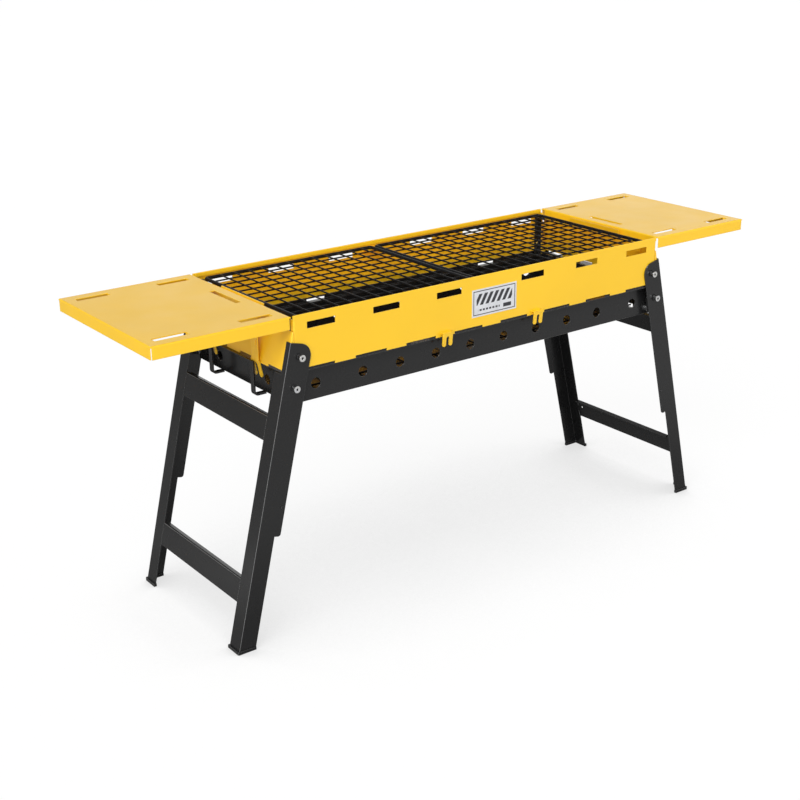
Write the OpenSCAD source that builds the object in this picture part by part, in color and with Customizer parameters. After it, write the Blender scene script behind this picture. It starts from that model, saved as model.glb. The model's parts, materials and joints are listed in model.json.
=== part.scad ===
// Folding charcoal grill: sheet-steel firebox on two hinged leg frames, with two grates and two side shelves.
// Millimetres, +Z up. Origin: on the floor, under the middle of the firebox. X runs along the firebox,
// the front is at -Y. Left pieces are modelled at -X, and right pieces are their mirror images.

/* [Yellow shell] */
// Length of the front and back panels
panel_l = 1006; // [990:1:1020]
// Width over the front and back panels
shell_w = 403; // [400:1:410]
// Height of the rim above the floor
rim_z = 688; // [684:1:692]
// Thickness of the shell's sheet steel
sheet = 2; // [1.5:0.5:2.5]
// Depth of the hem along the rim
hem_h = 9; // [8:1:12]
// Outer radius of the folded edges
fold_r = 3; // [2.5:0.5:3.5]
// Length of a vent slot
slot_l = 67; // [60:1:70]
// Height of a vent slot
slot_h = 14; // [10:1:16]
// Width of the tabs along the bottom edge of the front and back panels
tab_w = 50; // [40:1:60]
// Distance between the tabs
tab_pitch = 128; // [120:1:134]

/* [Charcoal box] */
// Length of the charcoal box
box_l = 1010; // [1008:1:1014]
// Width of the charcoal box
box_w = 374; // [368:1:376]
// Height of the box's underside above the floor
box_z = 501; // [500:0.5:503]
// Height of the box's lip, which carries the yellow shell
lip_z = 573; // [572:0.5:574]
// Diameter of the air holes
hole_d = 23; // [18:1:26]

// Distance between the rods of the charcoal grid
grid_pitch = 40; // [36:1:40]

/* [Leg frames] */
// Angle between a leg and the vertical
splay = 13.5; // [13.5]
// Distance from the middle of the grill to the outside of a foot
foot_x = 666.4; // [666:0.2:667]
// Length of a leg along its outer face
leg_len = 654.5; // [650:0.5:656]
// Thickness of the legs and crossbars
leg_t = 2.5; // [2:0.5:2.5]
// Width of a leg's front flange at the top
leg_wide = 52.5; // [52:0.5:54]
// Width of a leg's front flange below the step
leg_narrow = 38.5; // [36:0.5:40]
// Width of a leg's end flange
leg_end_w = 38.5; // [36:0.5:40]
// Height of a crossbar's web
bar_h = 51.5; // [46:0.5:52]
// Depth of a crossbar's top flange
bar_fold = 13; // [8:1:14]

/* [Shelves] */
// Length of a side shelf
shelf_l = 300; // [260:1:320]
// Depth of a shelf's turned-down edges
shelf_edge = 26; // [24:1:28]
// Gap between a shelf and the panels' ends
shelf_gap = 5.5; // [4:0.1:6]

/* [Grates] */
// Diameter of a grate's outer rod
rim_rod_d = 8; // [7:0.5:8]
// Diameter of a grate's wires
wire_d = 3.5; // [3:0.5:4]
// Cells along the left grate
left_cells = 13; // [11:1:15]
// Cells along the right grate
right_cells = 16; // [13:1:17]
// Cells across both grates
row_cells = 11; // [9:1:12]

/* [Fasteners] */
// Diameter of a screw's head
head_d = 14; // [12:0.5:15]
// Diameter of a screw's shank
shank_d = 8; // [8:0.5:9]
// Travel of a lock screw between released and locked
lock_travel = 3.2; // [2.5:0.1:3.3]

/* [Hidden] */
$fn = 64;
eps = 1;

yellow = [0.97, 0.74, 0.09];
black = [0.16, 0.16, 0.17];
zinc = [0.8, 0.8, 0.8];
label_grey = [0.78, 0.78, 0.8];

// Shell
half_l = panel_l / 2;
half_w = shell_w / 2;
notch_z = lip_z + 5;                       // bottom edge of the panels between their tabs
slot_z = 657;                              // bottom edge of the vent slots
slot_x = [117, 280, 439];                  // centres of the vent slots, on each side of the middle
end_top_z = 656;                           // top edge of the end panels beside the corners
end_mid_z = 661.6;                         // and between the corners
end_mid_y = 185;
end_ridge_z = 686;                         // and in the middle third, between the shelf's hooks
end_ridge_y = 84;
end_return = 12;                           // width of the inward folds at the panels' ends
leg_gap = 0.5;                             // clearance between a leg and the shell
corner_gap = 0.5;                          // seam between an end panel and the front panel
end_tab_mid = 25.5;                        // half width of the middle tab on an end panel
end_tab_in = 70;                           // the outer tabs on an end panel, from here
end_tab_out = 135;                         // to here

// The outer faces of the legs and of the end panels are parallel planes, splay degrees off vertical
function leg_x(z) = -foot_x + z * tan(splay);
function end_x(z) = leg_x(z) + (leg_t + leg_gap) / cos(splay);

// Charcoal box
box_hw = box_w / 2;
box_hl = box_l / 2;
hole_z = 535;
side_holes = [47.4, 142.1, 236.8, 331.5, 447];   // air holes on each side of the middle
end_hole_y = 96;
end_hole_z = 530;
box_fold_r = 4;
end_lip_x = 524;                           // outer edge of the lip at the box's ends
rail_top = 515;                            // the charcoal grid lies on rails at this height
grid_rod_d = 4;
grid_l = 944;
grid_w = 362;
grid_rows = 9;
grid_columns = 23;

// Brackets on the box's ends
bracket_x = 534;
bracket_w = 91;                            // half the width over the arms
arm_w = 12;
arm_t = 4;
arm_drop = 75;
arm_r = 10;
prong_slot_x = [512, 530];                 // opening for a hanger's prongs
prong_slot_y = 74;
lip_cut_y = 112;

// Leg frames, measured along a leg's inside direction (u) and up the leg (w)
leg_y = half_w + leg_gap + leg_t;          // outer face of the front flanges
leg_r = 3;
leg_top_r = 26;
front_step_w = 254;                        // where a front leg's flange becomes narrower
back_step_w = 244;                         // and a back leg's
step_r = 6;
lip_w = 14.5;                              // width of the end flange beside an end panel
lip_from_w = 588;
shoe_floor = 3;
screw_u = 28;
lock_w = 627;
ear_w = 564;
pivot_u = 42.5;
pivot_w = 540;
ear_t = 5;
ear_r = 10;
pin_r = 5;
pin_clear = 0.05;
stud_u = 45;
stud_w = 316;
upper_bar_w = 446;
lower_bar_w = 101;
bar_r = 4;
bar_y = leg_y - leg_end_w;                 // half the length of a crossbar

// Fasteners
collar_t = 2;
collar_r = 8;
head_h = 3.8;
shank_clear = 0.3;
socket_af = 5;
socket_h = 2.6;

// Shelves
shelf_x = half_l + shelf_gap;              // inner edge of a shelf
shelf_slot = [72, 16];
shelf_slot_x = 23;                         // from the shelf's ends to its slots
shelf_slot_y = 167;
mid_slot = [13, 108];
hanger_t = 2.5;
hanger_x = 527.2;                          // inner face of a hanger's strap
hanger_y = 92.5;
hanger_w = 25;
hanger_fork_z = 577;
hook_y = 150;
hook_w = 14;

// Fork-shaped clips on the long panels
clip_x = 128;
clip_z = 583;
clip_out = 10;
clip_lean = 6;
hanger_lean = 11;

// Grates
grate_x = 486;                             // outside of a grate at the firebox's ends
grate_y = 187;                             // outside of a grate at the front and back
grate_split = -38;                         // middle of the gap between the grates
grate_gap = 4.5;
rest_z = 672.6;                              // height of the supports under the grates
loose = 0.4;                               // clearance under pieces that lift out
grate_r = 8;                               // bend radius of the outer rod, at its middle

// ---- Shared shapes ----

// Extrudes a 2D outline drawn in X and Z along Y
module along_y(y0, y1) {
    translate([0, y1, 0]) rotate([90, 0, 0]) linear_extrude(y1 - y0) children();
}

// Extrudes a 2D outline drawn in Y and Z along X
module along_x(x0, x1) {
    translate([x0, 0, 0]) rotate([90, 0, 90]) linear_extrude(x1 - x0) children();
}

module both_x() {
    children();
    mirror([1, 0, 0]) children();
}

module both_y() {
    children();
    mirror([0, 1, 0]) children();
}

// The waste outside a rounded corner at the origin
module corner_waste(r) {
    difference() {
        translate([-eps, -eps]) square(r + eps);
        translate([r, r]) circle(r);
    }
}

// Section of a sheet bent once: legs a along +X and b along +Y, outer corner at the origin
module angle_section(a, b, t, r) {
    difference() {
        union() {
            square([a, t]);
            square([t, b]);
            translate([t, t]) square(r - t);
        }
        translate([r, r]) circle(r - t);
        corner_waste(r);
    }
}

// A plain rectangle with its two upper corners rounded
module capped_rect(w, h, r) {
    difference() {
        translate([-w / 2, 0]) square([w, h]);
        translate([-w / 2, h]) mirror([0, 1]) corner_waste(r);
        translate([w / 2, h]) rotate(180) corner_waste(r);
    }
}

// A rectangle with rounded corners
module rounded_rect(w, h, r) {
    difference() {
        square([w, h]);
        corner_waste(r);
        translate([w, 0]) rotate(90) corner_waste(r);
        translate([w, h]) rotate(180) corner_waste(r);
        translate([0, h]) rotate(270) corner_waste(r);
    }
}

// Cylinder along Y, from y0 to y1
module rod_y(r, y0, y1) {
    translate([0, y1, 0]) rotate([90, 0, 0]) cylinder(r = r, h = y1 - y0);
}

// Cylinder along X, from x0 to x1
module rod_x(r, x0, x1) {
    translate([x0, 0, 0]) rotate([0, 90, 0]) cylinder(r = r, h = x1 - x0);
}

// Fork outline of width w: a shoulder at y = 0 and two round-ended prongs below it
module fork_outline(w, prong, len, shoulder) {
    difference() {
        union() {
            translate([-w / 2, -shoulder]) square([w, shoulder]);
            for (s = [-1, 1]) {
                translate([s * (w - prong) / 2 - prong / 2, -len + prong / 2])
                    square([prong, len - prong / 2]);
                translate([s * (w - prong) / 2, -len + prong / 2]) circle(prong / 2);
            }
        }
        translate([0, -shoulder]) circle(w / 2 - prong);
    }
}

// ---- Yellow shell ----

// Long panel with a hem along its top edge, folds at its ends and tabs along its bottom edge
module side_panel() {
    hem_r = sheet - 0.2;
    color(yellow) difference() {
        union() {
            along_x(-half_l, half_l) {
                translate([-half_w, notch_z]) square([sheet, rim_z - hem_h - notch_z]);
                translate([-half_w + sheet, rim_z - hem_h]) capped_rect(2 * sheet, hem_h, hem_r);
            }
            both_x() translate([-half_l, -half_w, notch_z]) linear_extrude(rim_z - hem_h - notch_z)
                angle_section(fold_r + sheet, end_return, sheet, fold_r);
            for (i = [-3:3]) translate([i * tab_pitch - tab_w / 2, -half_w, lip_z])
                cube([tab_w, sheet, notch_z - lip_z]);
        }
        both_x() translate([-half_l, -half_w, 0]) linear_extrude(rim_z - hem_h) corner_waste(fold_r);
        for (x = slot_x) both_x()
            translate([x - slot_l / 2, -half_w - eps, slot_z]) cube([slot_l, sheet + 2 * eps, slot_h]);
        both_x() lock_axis() rod_y(shank_d / 2 + 0.5, -half_w - eps, -half_w + sheet + eps);
    }
}

module front_panel() side_panel();
module back_panel() mirror([0, 1, 0]) side_panel();

// Section of an end panel's sloping sheet, up to height top
module end_section(top) {
    polygon([[end_x(lip_z), lip_z], [end_x(top), top],
             [end_x(top) + sheet, top], [end_x(lip_z) + sheet, lip_z]]);
}

// Sloping panel with folds at its ends that fill the wedges beside the long panels
module end_panel() {
    bend = 1.5;
    color(yellow) difference() {
        union() {
            along_y(-half_w, half_w) end_section(end_top_z);
            along_y(-end_mid_y, end_mid_y) end_section(end_mid_z);
            along_y(-end_ridge_y, end_ridge_y) end_section(end_ridge_z);
            both_y() along_y(-half_w, -half_w + sheet)
                polygon([[end_x(lip_z) + sheet / 2, lip_z], [end_x(end_top_z) + sheet / 2, end_top_z],
                         [-half_l - corner_gap, end_top_z], [-half_l - corner_gap, lip_z]]);
        }
        both_y() {
            translate([-box_hl - 30, end_tab_mid, lip_z - eps])
                cube([40, end_tab_in - end_tab_mid, notch_z - lip_z + eps]);
            translate([-box_hl - 30, end_tab_out, lip_z - eps])
                cube([40, half_w - end_tab_out - sheet, notch_z - lip_z + eps]);
            on_left_leg() translate([leg_t + leg_gap, -half_w, leg_len - 100])
                linear_extrude(150) polygon([[-eps, -eps], [bend + eps, -eps], [-eps, bend + eps]]);
        }
    }
}

module left_end_panel() end_panel();
module right_end_panel() mirror([1, 0, 0]) end_panel();

// Angles in the corners, with plates on top that carry the grates
module corner_posts() {
    post = [16, 8];
    plate = 23;
    color(black) both_x() both_y() translate([-half_l + sheet, -half_w + sheet, 0]) difference() {
        union() {
            translate([0, 0, lip_z]) linear_extrude(rest_z - lip_z - sheet)
                angle_section(post[0], post[1], sheet, fold_r);
            translate([0, 0, rest_z - sheet]) linear_extrude(sheet) difference() {
                square(plate);
                corner_waste(fold_r);
            }
        }
        translate([half_l - sheet, 0, 0]) lock_axis() rod_y(shank_d / 2 + 0.5, -eps, post[1] + eps);
    }
}

// Ledges on the long panels under the ends of both grates
module middle_rests() {
    rest_w = 36;
    rest_h = 10;
    rest_d = 22;
    color(yellow) both_y()
        along_x(grate_split - rest_w / 2, grate_split + rest_w / 2)
            translate([-half_w + sheet, rest_z]) mirror([0, 1])
                angle_section(rest_d, rest_h, sheet, fold_r);
}

// Clips on the long panels' lower edge: a ledge with a fork that hangs from its outer edge
module fork_clips() {
    clip_t = 2.5;
    clip_w = 26;
    clip_len = 31;
    clip_y = -half_w - clip_out;
    lean = clip_len * tan(clip_lean);
    color(yellow) both_x() both_y() translate([clip_x, 0, clip_z]) intersection() {
        along_x(-clip_w, clip_w)
            polygon([[-half_w, 0], [clip_y, 0], [clip_y + lean, -clip_len],
                     [clip_y + lean + clip_t, -clip_len], [clip_y + clip_t * (1 + tan(clip_lean)), -clip_t],
                     [-half_w, -clip_t]]);
        along_y(clip_y - eps, -half_w + eps) fork_outline(clip_w, 9, clip_len, 13);
    }
}

module label_plate() {
    label = [125, 61];
    label_at = [-56, 598];
    label_t = 0.4;
    color(label_grey) translate([label_at[0], -half_w - label_t, label_at[1]])
        cube([label[0], label_t, label[1]]);
}

// ---- Charcoal box ----

// Floor and long walls in one sheet, with lips that carry the shell and strips behind its bottom edges
module box_trough() {
    in_l = box_hl - sheet;
    strip_h = 9;
    strips = [[-478, -217], [-167, 295], [345, 478]];
    color(black) difference() {
        both_y() {
            along_x(-in_l, in_l) translate([-box_hw, box_z])
                angle_section(box_hw, lip_z - box_z, sheet, box_fold_r);
            translate([-in_l, -half_w, lip_z - sheet]) cube([2 * in_l, half_w - box_hw, sheet]);
            for (e = strips) translate([e[0], -half_w + sheet, lip_z - sheet])
                cube([e[1] - e[0], sheet, sheet + strip_h]);
        }
        for (x = side_holes) both_x()
            translate([x, 0, hole_z]) rod_y(hole_d / 2, -box_hw - eps, box_hw + eps);
    }
}

module box_end() {
    ash_slot_y = 121;
    ash_slot = [17, 9];
    color(black) difference() {
        union() {
            translate([-box_hl, -box_hw, box_z]) cube([sheet, box_w, lip_z - box_z]);
            both_y() {
                translate([-end_lip_x, lip_cut_y, lip_z - sheet])
                    cube([end_lip_x - box_hl + sheet, half_w - lip_cut_y, sheet]);
                translate([-prong_slot_x[0], bracket_w, lip_z - sheet])
                    cube([prong_slot_x[0] - box_hl + sheet, lip_cut_y - bracket_w, sheet]);
            }
        }
        both_y() {
            translate([0, end_hole_y, end_hole_z])
                rod_x(hole_d / 2 - 0.5, -box_hl - eps, -box_hl + sheet + eps);
            translate([-box_hl - eps, ash_slot_y, box_z + sheet])
                cube([sheet + 2 * eps, ash_slot[0], ash_slot[1]]);
        }
    }
}

module box_left_end() box_end();
module box_right_end() mirror([1, 0, 0]) box_end();

module bracket() {
    plate_l = bracket_x - box_hl;
    color(black) {
        difference() {
            translate([-bracket_x, -bracket_w, lip_z - sheet]) cube([plate_l, 2 * bracket_w, sheet]);
            both_y() translate([-prong_slot_x[1], prong_slot_y, lip_z - sheet - eps])
                cube([prong_slot_x[1] - prong_slot_x[0], bracket_w - prong_slot_y + eps, sheet + 2 * eps]);
        }
        both_y() along_y(bracket_w - arm_w, bracket_w) translate([-bracket_x, lip_z - arm_drop])
            angle_section(plate_l, arm_drop, arm_t, arm_r);
    }
}

module left_bracket() bracket();
module right_bracket() mirror([1, 0, 0]) bracket();

module grid_rails() {
    rail_hl = 480;
    color(black) both_y() along_x(-rail_hl, rail_hl)
        translate([-box_hw + sheet, rail_top]) mirror([0, 1]) angle_section(12, 10, sheet, fold_r);
}

// Rods along X, lying on the cross rods
module coal_grid_long_rods() {
    color(black) for (i = [-floor(grid_rows / 2):floor(grid_rows / 2)])
        translate([0, i * grid_pitch, rail_top + loose + 1.5 * grid_rod_d])
            rod_x(grid_rod_d / 2, -grid_l / 2, grid_l / 2);
}

// Rods along Y, lying on the rails
module coal_grid_cross_rods() {
    color(black) for (i = [-floor(grid_columns / 2):floor(grid_columns / 2)])
        translate([i * grid_pitch, 0, rail_top + loose + grid_rod_d / 2])
            rod_y(grid_rod_d / 2, -grid_w / 2, grid_w / 2);
}

// ---- Leg frames ----

// Puts a shape drawn in a left leg's own axes (u inwards, w up the leg) in place
module on_left_leg() {
    translate([-foot_x, 0, 0]) rotate([0, splay, 0]) children();
}

module lock_axis() on_left_leg() translate([screw_u, 0, lock_w]) children();
module ear_axis() on_left_leg() translate([screw_u, 0, ear_w]) children();
module pivot_axis() on_left_leg() translate([pivot_u, 0, pivot_w]) children();

// Keeps what is above height z
module above(z) {
    intersection() {
        children();
        translate([-1000, -500, z]) cube([2000, 1000, 1000]);
    }
}

module leg_blank() {
    on_left_leg() translate([0, -leg_y, -30])
        linear_extrude(leg_len + 30) angle_section(leg_wide, leg_end_w, leg_t, leg_r);
}

module leg(step_w) {
    color(black) above(shoe_floor) difference() {
        leg_blank();
        on_left_leg() {
            along_y(-leg_y - eps, -leg_y + leg_t + eps) {
                translate([leg_wide, leg_len]) rotate(180) corner_waste(leg_top_r);
                translate([leg_narrow, -40]) square([leg_wide, step_w + 40]);
                translate([leg_wide, step_w]) mirror([1, 0]) corner_waste(step_r);
            }
            translate([-eps, -leg_y + lip_w, lip_from_w]) cube([leg_r + eps, leg_end_w, leg_len]);
        }
        lock_axis() rod_y(shank_d / 2 + shank_clear, -leg_y - eps, -leg_y + leg_t + eps);
        ear_axis() rod_y(shank_d / 2 + 0.1, -leg_y - eps, -leg_y + leg_t + eps);
    }
}

module left_front_leg() leg(front_step_w);
module left_back_leg() mirror([0, 1, 0]) leg(back_step_w);
module right_front_leg() mirror([1, 0, 0]) leg(front_step_w);
module right_back_leg() mirror([1, 0, 0]) mirror([0, 1, 0]) leg(back_step_w);

module crossbar(w) {
    color(black) on_left_leg() along_y(-bar_y, bar_y)
        translate([0, w + bar_h]) mirror([0, 1]) angle_section(bar_fold, bar_h, leg_t, bar_r);
}

module left_upper_bar() crossbar(upper_bar_w);
module left_lower_bar() crossbar(lower_bar_w);
module right_upper_bar() mirror([1, 0, 0]) crossbar(upper_bar_w);
module right_lower_bar() mirror([1, 0, 0]) crossbar(lower_bar_w);

// L-shaped shoe that the end of a leg stands in
module shoes() {
    flare = 2;
    shoe_h = 7;
    color(black) both_y() difference() {
        translate([-foot_x - flare, -leg_y - flare, 0]) linear_extrude(shoe_h) difference() {
            union() {
                square([leg_narrow + flare + 2, leg_t + 2 * flare]);
                square([leg_t + 2 * flare, leg_end_w + flare + 2]);
            }
            corner_waste(leg_r);
        }
        above(shoe_floor) leg_blank();
    }
}

module left_shoes() shoes();
module right_shoes() mirror([1, 0, 0]) shoes();

// Plate behind the front flange, bolted to the leg and turning on the hinge pin
module hinge_ears() {
    color(black) both_y() difference() {
        on_left_leg() along_y(-leg_y + leg_t, -leg_y + leg_t + ear_t)
            translate([screw_u - ear_r, pivot_w - ear_r])
                rounded_rect(pivot_u - screw_u + 2 * ear_r, ear_w - pivot_w + 2 * ear_r, ear_r - 2);
        pivot_axis() rod_y(pin_r + pin_clear, -leg_y, 0);
        ear_axis() rod_y(shank_d / 2 + 0.1, -leg_y, 0);
    }
}

module left_hinge_ears() hinge_ears();
module right_hinge_ears() mirror([1, 0, 0]) hinge_ears();

module hinge_pins() {
    shoulder_r = 8;
    pin_end = leg_y - leg_t - 0.4;
    shoulder_end = pin_end - ear_t;
    color(zinc) both_x() both_y() pivot_axis() {
        rod_y(pin_r, -pin_end, -box_hw);
        rod_y(shoulder_r, -shoulder_end, -box_hw);
    }
}

// Socket-head screw along Y: its head's underside is at y = 0 and the head points to -Y
module screw(len) {
    color(zinc) difference() {
        union() {
            rod_y(head_d / 2, -head_h, 0);
            rod_y(shank_d / 2, 0, len);
        }
        translate([0, -head_h + socket_h, 0]) rotate([90, 0, 0])
            cylinder(d = socket_af / cos(30), h = socket_h + eps, $fn = 6);
    }
}

module lock_screw() {
    head_y = leg_y + collar_t + lock_travel + 0.3;
    lock_axis() translate([0, -head_y, 0]) screw(head_y - half_w - leg_gap);
}

module lock_screw_front_left() lock_screw();
module lock_screw_back_left() mirror([0, 1, 0]) lock_screw();
module lock_screw_front_right() mirror([1, 0, 0]) lock_screw();
module lock_screw_back_right() mirror([1, 0, 0]) mirror([0, 1, 0]) lock_screw();

// The ear screws stand on a spacer as tall as the lock screws' travel
module ear_screws() {
    head_y = leg_y + collar_t + lock_travel + 0.3;
    both_y() ear_axis() translate([0, -head_y, 0]) screw(head_y - leg_y + leg_t + ear_t);
}

module left_ear_screws() ear_screws();
module right_ear_screws() mirror([1, 0, 0]) ear_screws();

module collars() {
    spacer_r = 5.5;
    color(black) both_y() {
        lock_axis() difference() {
            rod_y(collar_r, -leg_y - collar_t, -leg_y);
            rod_y(shank_d / 2 + shank_clear, -leg_y - collar_t - eps, -leg_y + eps);
        }
        ear_axis() difference() {
            union() {
                rod_y(collar_r, -leg_y - collar_t, -leg_y);
                rod_y(spacer_r, -leg_y - collar_t - lock_travel - 0.3, -leg_y);
            }
            rod_y(shank_d / 2 + 0.1, -leg_y - collar_t - lock_travel - eps, -leg_y + eps);
        }
    }
}

module left_collars() collars();
module right_collars() mirror([1, 0, 0]) collars();

module studs() {
    stud_r = 3.2;
    stud_h = 1.6;
    color(black) both_y() on_left_leg() translate([stud_u, 0, stud_w])
        rod_y(stud_r, -leg_y - stud_h, -leg_y);
}

module left_studs() studs();
module right_studs() mirror([1, 0, 0]) studs();

// ---- Grates ----

grate_in = rest_z + loose + rim_rod_d / 2;             // height of the outer rod's middle
long_z = grate_in;                                     // height of the wires along X
cross_z = long_z + wire_d;                             // height of the wires along Y
left_ends = [-grate_x, grate_split - grate_gap / 2];
right_ends = [grate_split + grate_gap / 2, grate_x];

module grate_rim(ends) {
    r = rim_rod_d / 2;
    x0 = ends[0] + r;
    x1 = ends[1] - r;
    y1 = grate_y - r;
    color(black) translate([0, 0, grate_in]) {
        for (s = [-1, 1]) {
            translate([0, s * y1, 0]) rod_x(r, x0 + grate_r, x1 - grate_r);
            translate([s < 0 ? x0 : x1, 0, 0]) rod_y(r, -y1 + grate_r, y1 - grate_r);
        }
        for (c = [[x0 + grate_r, y1 - grate_r, 90], [x1 - grate_r, y1 - grate_r, 0],
                  [x0 + grate_r, -y1 + grate_r, 180], [x1 - grate_r, -y1 + grate_r, 270]])
            translate([c[0], c[1], 0]) rotate(c[2])
                rotate_extrude(angle = 90) translate([grate_r, 0]) circle(r);
    }
}

// Wires along X, ending inside the outer rod
module long_wires(ends) {
    pitch = (2 * grate_y - rim_rod_d) / row_cells;
    color(black) for (i = [1:row_cells - 1])
        translate([0, -grate_y + rim_rod_d / 2 + i * pitch, long_z])
            rod_x(wire_d / 2, ends[0] + rim_rod_d, ends[1] - rim_rod_d);
}

// Wires along Y, lying on the other wires and ending on the upper half of the outer rod
module cross_wires(ends, cells) {
    r = rim_rod_d / 2;
    end_y = grate_y - r - sqrt(pow(r, 2) - pow(cross_z - wire_d / 2 - grate_in, 2));
    pitch = (ends[1] - ends[0] - rim_rod_d) / cells;
    color(black) for (i = [1:cells - 1])
        translate([ends[0] + r + i * pitch, 0, cross_z]) rod_y(wire_d / 2, -end_y, end_y);
}

module left_grate_rim() grate_rim(left_ends);
module left_grate_long_wires() long_wires(left_ends);
module left_grate_cross_wires() cross_wires(left_ends, left_cells);
module right_grate_rim() grate_rim(right_ends);
module right_grate_long_wires() long_wires(right_ends);
module right_grate_cross_wires() cross_wires(right_ends, right_cells);

// ---- Side shelves ----

// Tray with turned-down edges that are open at the corners, slots with tabs at their ends, and a hand slot
// with lips along its sides
module shelf_pan() {
    mid_x = -shelf_x - shelf_l / 2;
    low_z = rim_z - shelf_edge;
    seam = sheet + 1.2;
    inner_cut = 12;
    tab_h = 14;
    lip_h = 8;
    edge_cut_h = shelf_edge - fold_r;
    slot_at = shelf_l / 2 - shelf_slot_x - shelf_slot[0] / 2;
    mid_slot_x = -shelf_x - shelf_slot_x - mid_slot[0] / 2;
    color(yellow) {
        for (s = [-1, 1], e = [-1, 1]) both_y()
            translate([mid_x + s * slot_at + e * (shelf_slot[0] + sheet) / 2, shelf_slot_y,
                       rim_z - sheet - tab_h / 2])
                cube([sheet, shelf_slot[1], tab_h], center = true);
        translate([mid_slot_x - (mid_slot[0] + sheet) / 2, 0, rim_z - sheet - lip_h / 2])
            cube([sheet, mid_slot[1], lip_h], center = true);
    }
    color(yellow) difference() {
        intersection() {
            along_y(-half_w, half_w) translate([mid_x, low_z]) capped_rect(shelf_l, shelf_edge, fold_r);
            along_x(mid_x - shelf_l, mid_x + shelf_l)
                translate([0, low_z]) capped_rect(shell_w, shelf_edge, fold_r);
        }
        translate([mid_x - shelf_l / 2 + sheet, -half_w + sheet, low_z - eps])
            cube([shelf_l - 2 * sheet, shell_w - 2 * sheet, shelf_edge - sheet + eps]);
        both_y() {
            for (x = [mid_x - shelf_l / 2 - eps, -shelf_x - seam])
                translate([x, -half_w - eps, low_z - eps]) cube([seam + eps, seam + eps, edge_cut_h + eps]);
            translate([-shelf_x - sheet - eps, -half_w - eps, low_z - eps])
                cube([sheet + 2 * eps, inner_cut + eps, edge_cut_h + eps]);
            for (s = [-1, 1]) translate([mid_x + s * slot_at, shelf_slot_y, rim_z])
                cube([shelf_slot[0], shelf_slot[1], 3 * sheet], center = true);
        }
        translate([mid_slot_x, 0, rim_z]) cube([mid_slot[0], mid_slot[1], 3 * sheet], center = true);
    }
}

// Straps under the shelf that end in forks, which drop through the brackets
module shelf_hangers() {
    color(yellow) both_y() translate([-hanger_x, hanger_y, 0]) {
        difference() {
            translate([-hanger_t, -hanger_w / 2, hanger_fork_z - 2])
                cube([hanger_t, hanger_w, rim_z - sheet - hanger_fork_z + 2]);
            translate([-hanger_t - eps, 4.5, 608]) cube([hanger_t + 2 * eps, 5, 12]);
        }
        translate([-hanger_t, 0, hanger_fork_z]) rotate([0, -hanger_lean, 0]) rotate([90, 0, 90])
            linear_extrude(hanger_t) fork_outline(33, 11, 37, 11);
    }
}

// Hooks on the shelf's inner edge that reach over an end panel's top edge
module shelf_hooks() {
    hook_in = 497;
    hook_low = 646;
    over_z = rim_z - shelf_edge;
    color(yellow) both_y() along_y(hook_y - hook_w / 2, hook_y + hook_w / 2) union() {
        translate([-shelf_x, over_z]) square([shelf_x - hook_in, sheet]);
        translate([-hook_in - sheet, hook_low]) square([sheet, over_z + sheet - hook_low]);
    }
}

module left_shelf_pan() shelf_pan();
module left_shelf_hangers() shelf_hangers();
module left_shelf_hooks() shelf_hooks();
module right_shelf_pan() mirror([1, 0, 0]) shelf_pan();
module right_shelf_hangers() mirror([1, 0, 0]) shelf_hangers();
module right_shelf_hooks() mirror([1, 0, 0]) shelf_hooks();

front_panel();
back_panel();
left_end_panel();
right_end_panel();
box_trough();
box_left_end();
box_right_end();
left_bracket();
right_bracket();
corner_posts();
middle_rests();
grid_rails();
hinge_pins();
fork_clips();
label_plate();
coal_grid_long_rods();
coal_grid_cross_rods();
left_front_leg();
left_back_leg();
left_upper_bar();
left_lower_bar();
left_shoes();
left_hinge_ears();
left_ear_screws();
left_collars();
left_studs();
right_front_leg();
right_back_leg();
right_upper_bar();
right_lower_bar();
right_shoes();
right_hinge_ears();
right_ear_screws();
right_collars();
right_studs();
lock_screw_front_left();
lock_screw_back_left();
lock_screw_front_right();
lock_screw_back_right();
left_grate_rim();
left_grate_long_wires();
left_grate_cross_wires();
right_grate_rim();
right_grate_long_wires();
right_grate_cross_wires();
left_shelf_pan();
left_shelf_hangers();
left_shelf_hooks();
right_shelf_pan();
right_shelf_hangers();
right_shelf_hooks();
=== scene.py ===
"""Looks of the folding charcoal grill: camera, studio, paints, welds and the label."""
import json
import math

import bmesh
import bpy
from mathutils import Matrix, Vector


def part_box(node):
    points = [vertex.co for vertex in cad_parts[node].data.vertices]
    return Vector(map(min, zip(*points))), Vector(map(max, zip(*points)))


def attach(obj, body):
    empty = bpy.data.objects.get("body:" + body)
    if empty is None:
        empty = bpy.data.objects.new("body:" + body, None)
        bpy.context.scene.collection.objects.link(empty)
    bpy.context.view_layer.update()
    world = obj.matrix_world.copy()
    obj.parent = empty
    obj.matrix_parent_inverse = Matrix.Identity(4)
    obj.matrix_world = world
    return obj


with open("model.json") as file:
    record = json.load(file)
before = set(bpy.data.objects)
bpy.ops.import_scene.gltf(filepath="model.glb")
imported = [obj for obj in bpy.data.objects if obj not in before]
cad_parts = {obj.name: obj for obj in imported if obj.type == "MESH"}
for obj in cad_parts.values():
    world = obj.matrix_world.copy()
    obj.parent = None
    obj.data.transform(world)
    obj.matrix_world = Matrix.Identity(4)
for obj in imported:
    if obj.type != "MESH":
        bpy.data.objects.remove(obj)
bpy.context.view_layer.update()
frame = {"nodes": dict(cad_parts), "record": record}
NODES = frame["nodes"]
SIDES = {"left": -1, "right": 1}
# Run over rise of the leaning legs: the lean angle is the same as in the part's source
LEAN = math.tan(math.radians(13.5))

# ---- Shader nodes ----


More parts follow.
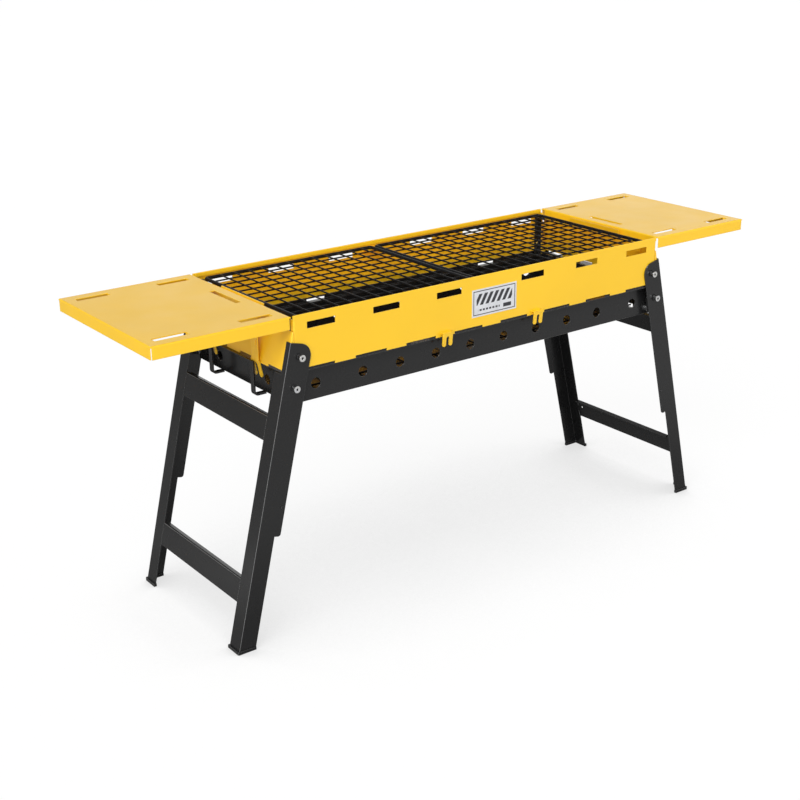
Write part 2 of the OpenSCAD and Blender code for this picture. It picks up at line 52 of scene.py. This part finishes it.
class Nodes:
    """Short ways to add and join the nodes of a tree."""

    def __init__(self, tree):
        self.tree = tree

    def add(self, kind, inputs=(), **settings):
        node = self.tree.nodes.new(kind)
        for key, value in settings.items():
            setattr(node, key, value)
        for socket, value in dict(inputs).items():
            self.feed(node.inputs[socket], value)
        return node

    def feed(self, socket, value):
        if isinstance(value, bpy.types.NodeSocket):
            self.tree.links.new(value, socket)
        else:
            socket.default_value = value

    def spread(self, value, low, high, start=0.3, end=0.7):
        """The value moved from the range start to end into the range low to high, and held there."""
        ends = {"Value": value, "From Min": start, "From Max": end, "To Min": low, "To Max": high}
        return self.add("ShaderNodeMapRange", ends).outputs["Result"]

    def math(self, operation, a, b=0.0, c=0.0):
        return self.add("ShaderNodeMath", {0: a, 1: b, 2: c}, operation=operation).outputs[0]

    def dot(self, a, b):
        return self.add("ShaderNodeVectorMath", {0: a, 1: b}, operation="DOT_PRODUCT").outputs["Value"]

    def mix(self, factor, a, b):
        node = self.add("ShaderNodeMix", data_type="RGBA")
        self.feed(node.inputs[0], factor)
        self.feed(node.inputs[6], a)
        self.feed(node.inputs[7], b)
        return node.outputs[2]

    def soft_edges(self, radius):
        """(normal rounded over the edges, mask that is 1 on an edge and 0 on a flat face)."""
        rounded = self.add("ShaderNodeBevel", {"Radius": radius}, samples=6).outputs["Normal"]
        true = self.add("ShaderNodeNewGeometry").outputs["True Normal"]
        return rounded, self.spread(self.dot(rounded, true), 1.0, 0.0, 0.8, 0.995)

    def fold_crests(self):
        """Mask that is 1 along the crest of a fold, where the face points halfway between two axes."""
        normal = self.add("ShaderNodeTexCoord").outputs["Normal"]
        size = self.add("ShaderNodeVectorMath", {0: normal}, operation="ABSOLUTE").outputs["Vector"]
        part = self.add("ShaderNodeSeparateXYZ", {"Vector": size}).outputs
        largest = self.math("MAXIMUM", self.math("MAXIMUM", part["X"], part["Y"]), part["Z"])
        return self.spread(largest, 1.0, 0.0, 0.72, 0.84)

    def bump(self, height, strength, distance, normal):
        inputs = {"Height": height, "Strength": strength, "Distance": distance, "Normal": normal}
        return self.add("ShaderNodeBump", inputs).outputs["Normal"]


class Shader(Nodes):
    """A material with one Principled shader; patterns are placed in the object's own coordinates."""

    def __init__(self, name):
        self.material = bpy.data.materials.new(name)
        self.material.use_nodes = True
        super().__init__(self.material.node_tree)
        self.principled = self.tree.nodes["Principled BSDF"]
        self.place = None

    def set(self, **values):
        for socket, value in values.items():
            self.principled.inputs[socket].default_value = value

    def feed_principled(self, socket, value):
        self.feed(self.principled.inputs[socket], value)

    def coordinates(self):
        if self.place is None:
            self.place = self.add("ShaderNodeTexCoord").outputs["Object"]
        return self.place

    def noise(self, scale, detail=3.0, stretch=None):
        place = self.coordinates()
        if stretch:
            mapping = self.add("ShaderNodeMapping", {"Vector": place})
            mapping.inputs["Scale"].default_value = stretch
            place = mapping.outputs["Vector"]
        pattern = {"Vector": place, "Scale": scale, "Detail": detail}
        return self.add("ShaderNodeTexNoise", pattern).outputs["Fac"]


def scaled(colour, factor):
    return (colour[0] * factor, colour[1] * factor, colour[2] * factor, 1)


def grey(value):
    return (value, value, value, 1)


# ---- Camera and studio ----

CAMERA_AZIMUTH = math.radians(-36.593)
CAMERA_ELEVATION = math.radians(20.513)
CAMERA_ROLL = math.radians(-0.612)
CAMERA_TARGET = Vector((-0.1231, -0.0316, 0.3778))
CAMERA_DISTANCE = 3.0556
LENS = 60.92
SENSOR = 36.0

# The world: its strength at the horizon and above SKY_HEIGHT, and the share left towards DIM_SIDE
HORIZON, SKY, SKY_HEIGHT = 1.30, 0.28, 0.6
DIM_SIDE, DIM_START, DIM_END, DIMMED = (-0.66, 0.75, 0.0), 0.3, 0.9, 0.3

# The lamp in the firebox: its size as a share of the trough's, and its height above the trough
INNER_BOUNCE_SHARE, INNER_BOUNCE_RISE = (0.94, 0.84), 0.01
INNER_BOUNCE_ENERGY = 0.8
INNER_BOUNCE_COLOUR = (1.0, 0.52, 0.06)

# The floor paper. FLOOR_GLOW is what the camera sees of it, from a sheltered spot to an open one: a shadow
# painted into its glow.
# FLOOR_BOUNCE is what it gives back to the grill, from the unlit zones to the brightest one.
FLOOR_HALF, FLOOR_DROP = 60.0, 0.0005
FLOOR_GLOW, SHELTER_REACH, SHELTER_RANGE = (0.72, 0.93), 0.7, (0.62, 0.84)
FLOOR_BOUNCE, FRONT_SHARE = (0.12, 0.80), 0.42
FRONT_ZONE_Y = (-0.75, -0.3)
LEFT_ZONE_X, LEFT_ZONE_Y = (-1.3, -0.8), (0.3, 0.8)


def add_camera():
    back = Vector((
        math.sin(CAMERA_AZIMUTH) * math.cos(CAMERA_ELEVATION),
        -math.cos(CAMERA_AZIMUTH) * math.cos(CAMERA_ELEVATION),
        math.sin(CAMERA_ELEVATION),
    ))
    level_right = Vector((0, 0, 1)).cross(back).normalized()
    turn = Matrix.Rotation(CAMERA_ROLL, 3, back)
    right = turn @ level_right
    up = back.cross(right)
    data = bpy.data.cameras.new("camera")
    data.lens = LENS
    data.sensor_width = SENSOR
    data.clip_end = 200
    camera = bpy.data.objects.new("camera", data)
    rotation = Matrix((right, up, back)).transposed().to_4x4()
    camera.matrix_world = Matrix.Translation(CAMERA_TARGET + CAMERA_DISTANCE * back) @ rotation
    bpy.context.collection.objects.link(camera)
    bpy.context.scene.camera = camera


def add_world():
    """A white surround, bright at the horizon, dim overhead and dim on one side."""
    world = bpy.data.worlds.new("studio")
    world.use_nodes = True
    nodes = Nodes(world.node_tree)
    background = nodes.tree.nodes["Background"]
    background.inputs["Color"].default_value = (1, 1, 1, 1)
    direction = nodes.add("ShaderNodeTexCoord").outputs["Generated"]
    height = nodes.add("ShaderNodeSeparateXYZ", {"Vector": direction}).outputs["Z"]
    strength = nodes.spread(height, HORIZON, SKY, 0.0, SKY_HEIGHT)
    dimming = nodes.spread(nodes.dot(direction, DIM_SIDE), 1.0, DIMMED, DIM_START, DIM_END)
    nodes.feed(background.inputs["Strength"], nodes.math("MULTIPLY", strength, dimming))
    bpy.context.scene.world = world
    bpy.context.scene.view_settings.view_transform = "Standard"


def add_sun(name, azimuth, elevation, strength, spread):
    """A distant lamp; its angles are in degrees, and azimuth 0 shines from the front."""
    data = bpy.data.lights.new(name, "SUN")
    data.energy = strength
    data.angle = math.radians(spread)
    lamp = bpy.data.objects.new(name, data)
    lamp.rotation_euler = (math.radians(90 - elevation), 0, math.radians(azimuth))
    bpy.context.collection.objects.link(lamp)


def add_inner_bounce():
    """Yellow light shining up from the trough's mouth, as the shell's inner faces pass it to one another."""
    low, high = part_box("box_trough")
    data = bpy.data.lights.new("inner_bounce", "AREA")
    data.shape = "RECTANGLE"
    data.size = INNER_BOUNCE_SHARE[0] * (high[0] - low[0])
    data.size_y = INNER_BOUNCE_SHARE[1] * (high[1] - low[1])
    data.energy = INNER_BOUNCE_ENERGY
    data.color = INNER_BOUNCE_COLOUR
    lamp = bpy.data.objects.new("inner_bounce", data)
    lamp.location = (0, 0, high[2] + INNER_BOUNCE_RISE)
    lamp.rotation_euler = (math.pi, 0, 0)
    lamp.visible_camera = False
    lamp.visible_glossy = False
    bpy.context.collection.objects.link(lamp)


def add_floor():
    """White paper that glows, with a painted shadow where the grill shelters it, and giving the grill more
    light in front and on the left.
    """
    half = FLOOR_HALF
    corners = [(-half, -half, 0), (half, -half, 0), (half, half, 0), (-half, half, 0)]
    mesh = bpy.data.meshes.new("floor")
    mesh.from_pydata(corners, [], [(0, 1, 2, 3)])
    floor = bpy.data.objects.new("floor", mesh)
    floor.location.z = -FLOOR_DROP
    bpy.context.collection.objects.link(floor)
    shader = Shader("floor_paper")
    shader.set(**{"Roughness": 0.9, "Specular IOR Level": 0.0, "Emission Color": (1, 1, 1, 1)})
    seen = shader.add("ShaderNodeLightPath").outputs["Is Camera Ray"]
    shader.feed_principled("Base Color", shader.mix(seen, grey(0.2), grey(0.08)))
    # Painted shadow: the glow the camera sees drops where ambient occlusion finds the grill near.
    shelter = shader.add("ShaderNodeAmbientOcclusion", {"Distance": SHELTER_REACH}, samples=12)
    glow = shader.spread(shelter.outputs["AO"], *FLOOR_GLOW, *SHELTER_RANGE)
    place = shader.add("ShaderNodeSeparateXYZ", {"Vector": shader.coordinates()}).outputs
    front = shader.spread(place["Y"], 1.0, 0.0, *FRONT_ZONE_Y)
    beside = shader.spread(place["X"], 1.0, 0.0, *LEFT_ZONE_X)
    not_behind = shader.spread(place["Y"], 1.0, 0.0, *LEFT_ZONE_Y)
    left = shader.math("MULTIPLY", beside, not_behind)
    bright = shader.math("MAXIMUM", shader.math("MULTIPLY", front, FRONT_SHARE), left)
    bounce = shader.spread(bright, *FLOOR_BOUNCE, 0.0, 1.0)
    extra = shader.math("SUBTRACT", glow, bounce)
    shader.feed_principled("Emission Strength", shader.math("MULTIPLY_ADD", seen, extra, bounce))
    mesh.materials.append(shader.material)


# ---- Materials ----


def powder_coat(name, colour, highlight_colour, roughness, specular, coat, grain, highlight_share, crest=None):
    """Baked powder paint: slight cloudiness, orange-peel grain and a painted highlight along the cut edges.

    The edge share is how far the edge colour covers the edges as a painted highlight; crest is the grey of a
    painted highlight along the fold crests, where it shows.
    """
    shader = Shader(name)
    cloud = shader.noise(5.0, 2.0)
    tone = shader.mix(shader.spread(cloud, 0.0, 1.0), scaled(colour, 0.96), scaled(colour, 1.03))
    speckle = shader.spread(shader.noise(1500.0, 1.0), 0.0, 1.0, 0.62, 0.78)
    # Random pale specks take the colour of the painted edge highlight.
    tone = shader.mix(shader.math("MULTIPLY", speckle, 0.12), tone, scaled(highlight_colour, 1.0))
    rounded, edge = shader.soft_edges(0.0013)
    # Painted highlight: the pale edge colour over the bevel mask stands in for light caught by the edges.
    edge_highlight = shader.math("MULTIPLY", edge, highlight_share)
    tone = shader.mix(edge_highlight, tone, scaled(highlight_colour, 1.0))
    # Painted highlight: a light grey along the fold crests stands in for light caught by the bends.
    if crest:
        tone = shader.mix(shader.fold_crests(), tone, grey(crest))
    shader.feed_principled("Base Color", tone)
    smudge = shader.spread(shader.noise(14.0, 4.0), roughness - 0.05, roughness + 0.06)
    shader.feed_principled("Roughness", smudge)
    peel = shader.noise(520.0, 2.0)
    shader.feed_principled("Normal", shader.bump(peel, grain, 0.0004, rounded))
    shader.set(**{"Specular IOR Level": specular, "Coat Weight": coat, "Coat Roughness": 0.12})
    return shader.material


def zinc_plate():
    """Bright zinc with a faint warm and blue passivation tint and fine turning marks."""
    shader = Shader("bright_zinc")
    tint = shader.spread(shader.noise(90.0, 2.0), 0.0, 1.0)
    shader.feed_principled("Base Color", shader.mix(tint, (0.78, 0.79, 0.82, 1), (0.86, 0.85, 0.80, 1)))
    marks = shader.noise(60.0, 3.0, (1.0, 30.0, 1.0))
    shader.feed_principled("Roughness", shader.spread(marks, 0.16, 0.30))
    rounded, _ = shader.soft_edges(0.0006)
    shader.feed_principled("Normal", shader.bump(marks, 0.08, 0.0002, rounded))
    shader.set(Metallic=1.0)
    return shader.material


def box_mask(shader, x, z, low, high):
    """1 inside a rectangle of x and z, and 0 outside."""
    mask = shader.math("GREATER_THAN", x, low[0])
    for test in (("LESS_THAN", x, high[0]), ("GREATER_THAN", z, low[1]), ("LESS_THAN", z, high[1])):
        mask = shader.math("MULTIPLY", mask, shader.math(*test))
    return mask


def label_foil():
    """Silver foil without lettering: a frame line, a band of slanted bars, a row of dashes and a block."""
    shader = Shader("label_foil")
    low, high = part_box("label_plate")
    wide, tall = high[0] - low[0], high[2] - low[2]
    place = shader.add("ShaderNodeSeparateXYZ", {"Vector": shader.coordinates()}).outputs
    x = shader.math("DIVIDE", shader.math("SUBTRACT", place["X"], low[0]), wide)
    z = shader.math("DIVIDE", shader.math("SUBTRACT", place["Z"], low[2]), tall)
    slant = shader.math("MULTIPLY_ADD", z, -0.45, shader.math("MULTIPLY", x, 1.6))
    bars = shader.math("GREATER_THAN", shader.math("FRACT", shader.math("MULTIPLY", slant, 5.0)), 0.42)
    band = shader.math("MULTIPLY", bars, box_mask(shader, x, z, (0.1, 0.42), (0.9, 0.82)))
    dashes = shader.math("GREATER_THAN", shader.math("FRACT", shader.math("MULTIPLY", x, 14.0)), 0.35)
    row = shader.math("MULTIPLY", dashes, box_mask(shader, x, z, (0.14, 0.2), (0.62, 0.27)))
    block = box_mask(shader, x, z, (0.7, 0.16), (0.88, 0.3))
    outer = box_mask(shader, x, z, (0.03, 0.06), (0.97, 0.94))
    inner = box_mask(shader, x, z, (0.045, 0.09), (0.955, 0.91))
    line = shader.math("SUBTRACT", outer, inner)
    ink = shader.math("MAXIMUM", shader.math("MAXIMUM", band, row), shader.math("MAXIMUM", block, line))
    brushing = shader.spread(shader.noise(40.0), 0.0, 1.0)
    foil = shader.mix(brushing, (0.72, 0.73, 0.76, 1), (0.84, 0.85, 0.87, 1))
    shader.feed_principled("Base Color", shader.mix(ink, foil, (0.03, 0.03, 0.035, 1)))
    shader.feed_principled("Roughness", shader.spread(ink, 0.3, 0.5, 0.0, 1.0))
    shader.feed_principled("Metallic", shader.spread(ink, 0.35, 0.0, 0.0, 1.0))
    return shader.material


YELLOW = (0.960, 0.575, 0.012)
# The pale edge colours are painted highlights laid along the edges.
YELLOW_HIGHLIGHT = (1.0, 0.70, 0.12)
BLACK = (0.011, 0.011, 0.0112)
BLACK_HIGHLIGHT = (0.15, 0.15, 0.152)
ENAMEL = (0.007, 0.007, 0.0075)


def make_materials():
    yellow = powder_coat("yellow_powder_coat", YELLOW, YELLOW_HIGHLIGHT,
                         roughness=0.36, specular=0.5, coat=0.3, grain=0.10, highlight_share=0.45)
    black = powder_coat("black_powder_coat", BLACK, BLACK_HIGHLIGHT,
                        roughness=0.25, specular=0.38, coat=0.1, grain=0.10, highlight_share=0.6, crest=0.17)
    enamel = powder_coat("grate_enamel", ENAMEL, BLACK_HIGHLIGHT,
                         roughness=0.36, specular=0.2, coat=0.0, grain=0.25, highlight_share=0.3)
    return {
        "yellow_paint": yellow,
        "black_paint": black,
        "grate_enamel": enamel,
        "zinc": zinc_plate(),
        "label": label_foil(),
    }


def paint_nodes(materials):
    for entry in frame["record"]["subparts"]:
        piece = NODES[entry["node"]]
        material = materials[entry["material_slot"]]
        if not piece.material_slots:
            piece.data.materials.append(material)
        for slot in piece.material_slots:
            slot.material = material


# ---- Welds ----

# How far the inner face of a crossbar's sheet lies from its outer face, measured along x
PLATE = 0.0026


def link_mesh(name, shape, material, body):
    """Makes a bmesh into a piece that rides on a body."""
    mesh = bpy.data.meshes.new(name)
    shape.to_mesh(mesh)
    shape.free()
    mesh.materials.append(material)
    for face in mesh.polygons:
        face.use_smooth = True
    piece = bpy.data.objects.new(name, mesh)
    bpy.context.collection.objects.link(piece)
    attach(piece, body)
    return piece


def add_blob(shape, centre, size, segments=10, rings=6):
    """A flattened ball of weld metal."""
    place = Matrix.Translation(centre) @ Matrix.Diagonal((*size, 1))
    bmesh.ops.create_uvsphere(shape, u_segments=segments, v_segments=rings, radius=1.0, matrix=place)


def add_bead(shape, start, end, radius, step):
    """A weld bead from start to end: overlapping ripples of uneven width."""
    start, end = Vector(start), Vector(end)
    count = max(2, round((end - start).length / step))
    for i in range(count + 1):
        swell = 1.0 + 0.12 * math.sin(i * 2.3)
        add_blob(shape, start.lerp(end, i / count), (radius * swell, radius * swell, radius * swell))


def frame_welds(materials):
    """Tack welds where the crossbars meet the legs: short beads inside, and a row of small dots outside."""
    tack, tack_radius, ripple = 0.012, 0.0016, 0.002
    tack_heights = (0.16, 0.8)
    dot, dot_step, dots_from, dots_over = 0.0011, 0.0042, 0.07, 0.86
    for side, sign in SIDES.items():
        shape = bmesh.new()
        for bar in ("upper", "lower"):
            low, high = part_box(f"{side}_{bar}_bar")
            height = high[2] - low[2]
            foot = low[0] if sign < 0 else high[0]
            for y in (low[1], high[1]):
                for share in tack_heights:
                    rise = share * height
                    x = foot - sign * (LEAN * rise + PLATE)
                    start = (x + sign * LEAN * tack / 2, y, low[2] + rise - tack / 2)
                    end = (x - sign * LEAN * tack / 2, y, low[2] + rise + tack / 2)
                    add_bead(shape, start, end, tack_radius, ripple)
                for i in range(int(dots_over * height / dot_step)):
                    rise = dots_from * height + i * dot_step
                    sway = 0.0005 * math.sin(i * 5.1 + y * 40)
                    place = (foot - sign * LEAN * (rise - 0.0006), y + sway, low[2] + rise)
                    add_blob(shape, place, (dot * 0.6, dot, dot * 1.3), 8, 5)
        link_mesh(f"{side}_frame_welds", shape, materials["black_paint"], f"{side}_leg_frame")


def grate_welds(materials):
    """A weld nodule on the rim rod at both ends of each wire: rows run along x, and columns along y."""
    rows = 10
    for side, columns in (("left", 12), ("right", 15)):
        low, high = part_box(f"{side}_grate_rim")
        long_low, long_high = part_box(f"{side}_grate_long_wires")
        cross_low, cross_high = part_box(f"{side}_grate_cross_wires")
        rod = long_low[0] - low[0]
        wire = long_high[2] - long_low[2]
        middle = (low[2] + high[2]) / 2
        shape = bmesh.new()
        long_way, cross_way, tall_way = rod * 0.45, wire * 0.64, wire * 0.58
        pitch = (long_high[1] - long_low[1] - wire) / (rows - 1)
        for i in range(rows):
            y = long_low[1] + wire / 2 + i * pitch
            for x in (low[0] + rod * 0.6, high[0] - rod * 0.6):
                add_blob(shape, (x, y, middle + wire * 0.1), (long_way, cross_way, tall_way))
        pitch = (cross_high[0] - cross_low[0] - wire) / (columns - 1)
        for i in range(columns):
            x = cross_low[0] + wire / 2 + i * pitch
            for y in (low[1] + rod * 0.6, high[1] - rod * 0.6):
                add_blob(shape, (x, y, middle + wire * 0.6), (cross_way, long_way, tall_way))
        link_mesh(f"{side}_grate_welds", shape, materials["grate_enamel"], f"{side}_grate")


def bar_rivet(materials):
    """A small bright rivet near the back end of the right frame's lower bar, on its inner face."""
    low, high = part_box("right_lower_bar")
    rise = 0.62 * (high[2] - low[2])
    shape = bmesh.new()
    place = (high[0] - LEAN * rise - PLATE, high[1] - 0.014, low[2] + rise)
    add_blob(shape, place, (0.0016, 0.0034, 0.0034), 16, 8)
    link_mesh("right_bar_rivet", shape, materials["zinc"], "right_leg_frame")


def painted_socket_shades():
    """A dark hex plug in each screw head's socket, put there as painted shade for the socket's shaded
    inside.
    """
    shader = Shader("socket_shade")
    shader.set(**{"Base Color": (0.03, 0.03, 0.032, 1), "Roughness": 0.5, "Metallic": 0.6})
    width, deep, thick = 0.005, 0.0007, 0.0012
    radius = width / 2 / math.cos(math.radians(30))
    turn = Matrix.Rotation(math.radians(90), 4, "X") @ Matrix.Rotation(math.radians(30), 4, "Z")
    # For each piece with screws: the body it belongs to, and the ways its heads face along y
    locks = [name for name in NODES if name.startswith("lock_screw")]
    screws = {name: (name, (1,) if "back" in name else (-1,)) for name in locks}
    screws.update({f"{side}_ear_screws": (f"{side}_leg_frame", (-1, 1)) for side in SIDES})
    for name, (body, faces) in screws.items():
        low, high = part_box(name)
        shape = bmesh.new()
        for face in faces:
            y = (low[1] if face < 0 else high[1]) - face * (deep + thick / 2)
            place = Matrix.Translation(((low[0] + high[0]) / 2, y, (low[2] + high[2]) / 2))
            bmesh.ops.create_cone(shape, cap_ends=True, segments=6, radius1=radius, radius2=radius,
                                  depth=thick, matrix=place @ turn)
        # Each plug is painted shade, not a part of the screw.
        piece = link_mesh(f"{name}_socket", shape, shader.material, body)
        for flat_face in piece.data.polygons:
            flat_face.use_smooth = False


add_camera()
add_world()
add_sun("key", azimuth=-53, elevation=45, strength=2.6, spread=44)
add_sun("front_strip", azimuth=-40, elevation=3, strength=0.32, spread=10)
add_inner_bounce()
add_floor()
MATERIALS = make_materials()
paint_nodes(MATERIALS)
frame_welds(MATERIALS)
grate_welds(MATERIALS)
bar_rivet(MATERIALS)
painted_socket_shades()
